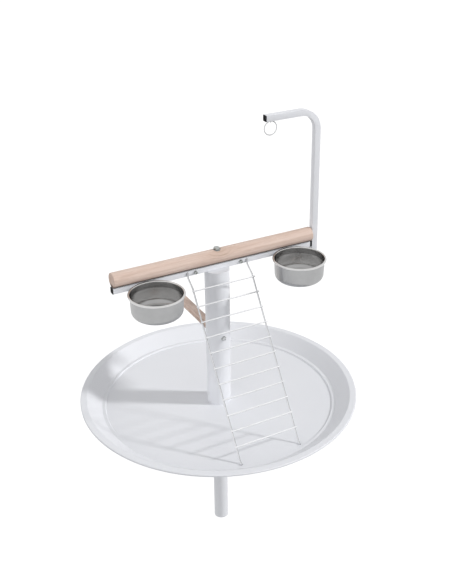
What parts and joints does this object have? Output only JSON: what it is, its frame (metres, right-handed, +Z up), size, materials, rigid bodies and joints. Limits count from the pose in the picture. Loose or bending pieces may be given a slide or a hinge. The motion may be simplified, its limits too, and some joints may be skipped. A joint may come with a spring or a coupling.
{
  "type": "parrot play stand top",
  "caption": "Round tray on a pole with an upright tube, a square crossbar under a wooden perch, two clamped feed bowls, a hung wire ladder, a toy hanger and a rear perch.",
  "frame": {"origin": "centre of the pole's lower end", "axes": "+X along the crossbar towards the toy hanger, +Y to the back, away from the ladder, +Z up along the pole"},
  "size_m": [0.6, 0.6, 0.9512],
  "materials": {
    "white_coat": "glossy powder coat",
    "perch_wood": "sanded, unfinished",
    "stainless": "polished",
    "plated_wire": "white coated wire",
    "zinc_steel": "zinc plated",
    "black_plastic": "moulded"
  },
  "bodies": {
    "frame": {"pole": "white_coat", "tray_flange": "white_coat", "tray": "white_coat", "tray_screws": "zinc_steel", "main_tube": "white_coat", "tube_base_plate": "white_coat", "pole_bush": "white_coat", "tube_top_plate": "white_coat", "crossbar": "white_coat", "crossbar_end_cap": "black_plastic", "crossbar_insert": "black_plastic", "perch": "perch_wood", "perch_bolt": "zinc_steel", "perch_washer": "zinc_steel", "perch_nut": "zinc_steel", "stop_screws": "zinc_steel", "stop_nuts": "zinc_steel", "hanger": "white_coat", "hanger_tip_cap": "black_plastic", "hanger_foot_cap": "black_plastic", "hanger_bolt": "zinc_steel", "ring_eye": "plated_wire", "bowl_washer_left": "zinc_steel", "bowl_washer_right": "zinc_steel", "back_perch": "perch_wood", "back_perch_screw": "zinc_steel", "back_perch_washer": "zinc_steel"},
    "ladder": {"ladder_rail_left": "plated_wire", "ladder_rail_right": "plated_wire", "rung_01": "plated_wire", "rung_02": "plated_wire", "rung_03": "plated_wire", "rung_04": "plated_wire", "rung_05": "plated_wire", "rung_06": "plated_wire", "rung_07": "plated_wire", "rung_08": "plated_wire", "rung_09": "plated_wire", "rung_10": "plated_wire", "rung_11": "plated_wire"},
    "toy_ring": {"toy_ring": "plated_wire"},
    "bowl_left": {"bowl_left": "stainless", "bowl_stud_left": "zinc_steel"},
    "bowl_right": {"bowl_right": "stainless", "bowl_stud_right": "zinc_steel"},
    "wing_nut_left": {"wing_nut_left": "zinc_steel"},
    "wing_nut_right": {"wing_nut_right": "zinc_steel"}
  },
  "joints": [
    {"name": "ladder_swing", "type": "hinge", "parent": "frame", "child": "ladder", "pos_m": [-0.0019, -0.00635, 0.65475], "axis": [-1, 0, 0], "range_deg": [0, 55]},
    {"name": "toy_ring_swing", "type": "hinge", "parent": "frame", "child": "toy_ring", "pos_m": [0.1245, 0, 0.9372], "axis": [1, 0, 0], "range_deg": [-70, 70]},
    {"name": "bowl_left_tilt", "type": "hinge", "parent": "frame", "child": "bowl_left", "pos_m": [-0.1628, 0, 0.65035], "axis": [0, 1, 0], "range_deg": [-12, 12]},
    {"name": "bowl_right_tilt", "type": "hinge", "parent": "frame", "child": "bowl_right", "pos_m": [0.1599, 0, 0.65035], "axis": [0, 1, 0], "range_deg": [-12, 12]},
    {"name": "wing_nut_left_turn", "type": "hinge", "parent": "bowl_left", "child": "wing_nut_left", "pos_m": [-0.1628, 0.012, 0.65035], "axis": [0, 1, 0], "continuous": true},
    {"name": "wing_nut_right_turn", "type": "hinge", "parent": "bowl_right", "child": "wing_nut_right", "pos_m": [0.1599, 0.012, 0.65035], "axis": [0, 1, 0], "continuous": true}
  ]
}
